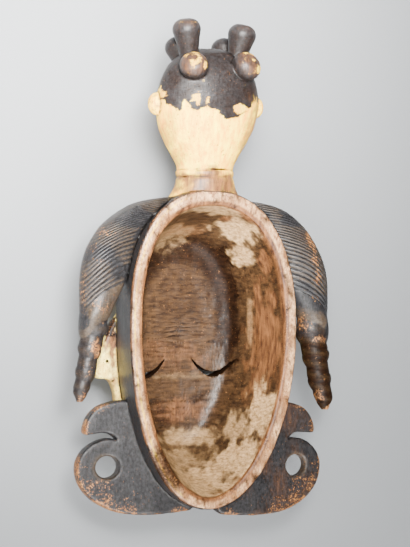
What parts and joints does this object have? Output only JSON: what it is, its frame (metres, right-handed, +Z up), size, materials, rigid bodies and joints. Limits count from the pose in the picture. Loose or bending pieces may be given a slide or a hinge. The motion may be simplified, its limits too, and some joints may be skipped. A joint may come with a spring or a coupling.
{
  "type": "punu mask",
  "caption": "Carved wooden face mask in one piece, lying face down: hollow back upwards, braids and scrolled wings at the sides, a small knobbed head above.",
  "frame": {"origin": "centre of the footprint, on the ground that the mask lies on face down", "axes": "+Z up out of the hollow back, +Y from the chin towards the small head, +X to the right seen from the back with the head up"},
  "size_m": [0.3034, 0.5294, 0.1467],
  "materials": {
    "carved_wood": "hand-carved light wood, blackened on braids, wings and hair, white clay on neck and face, varnished brown inside, worn edges"
  },
  "bodies": {
    "root": {"mask": "carved_wood"}
  },
  "joints": []
}
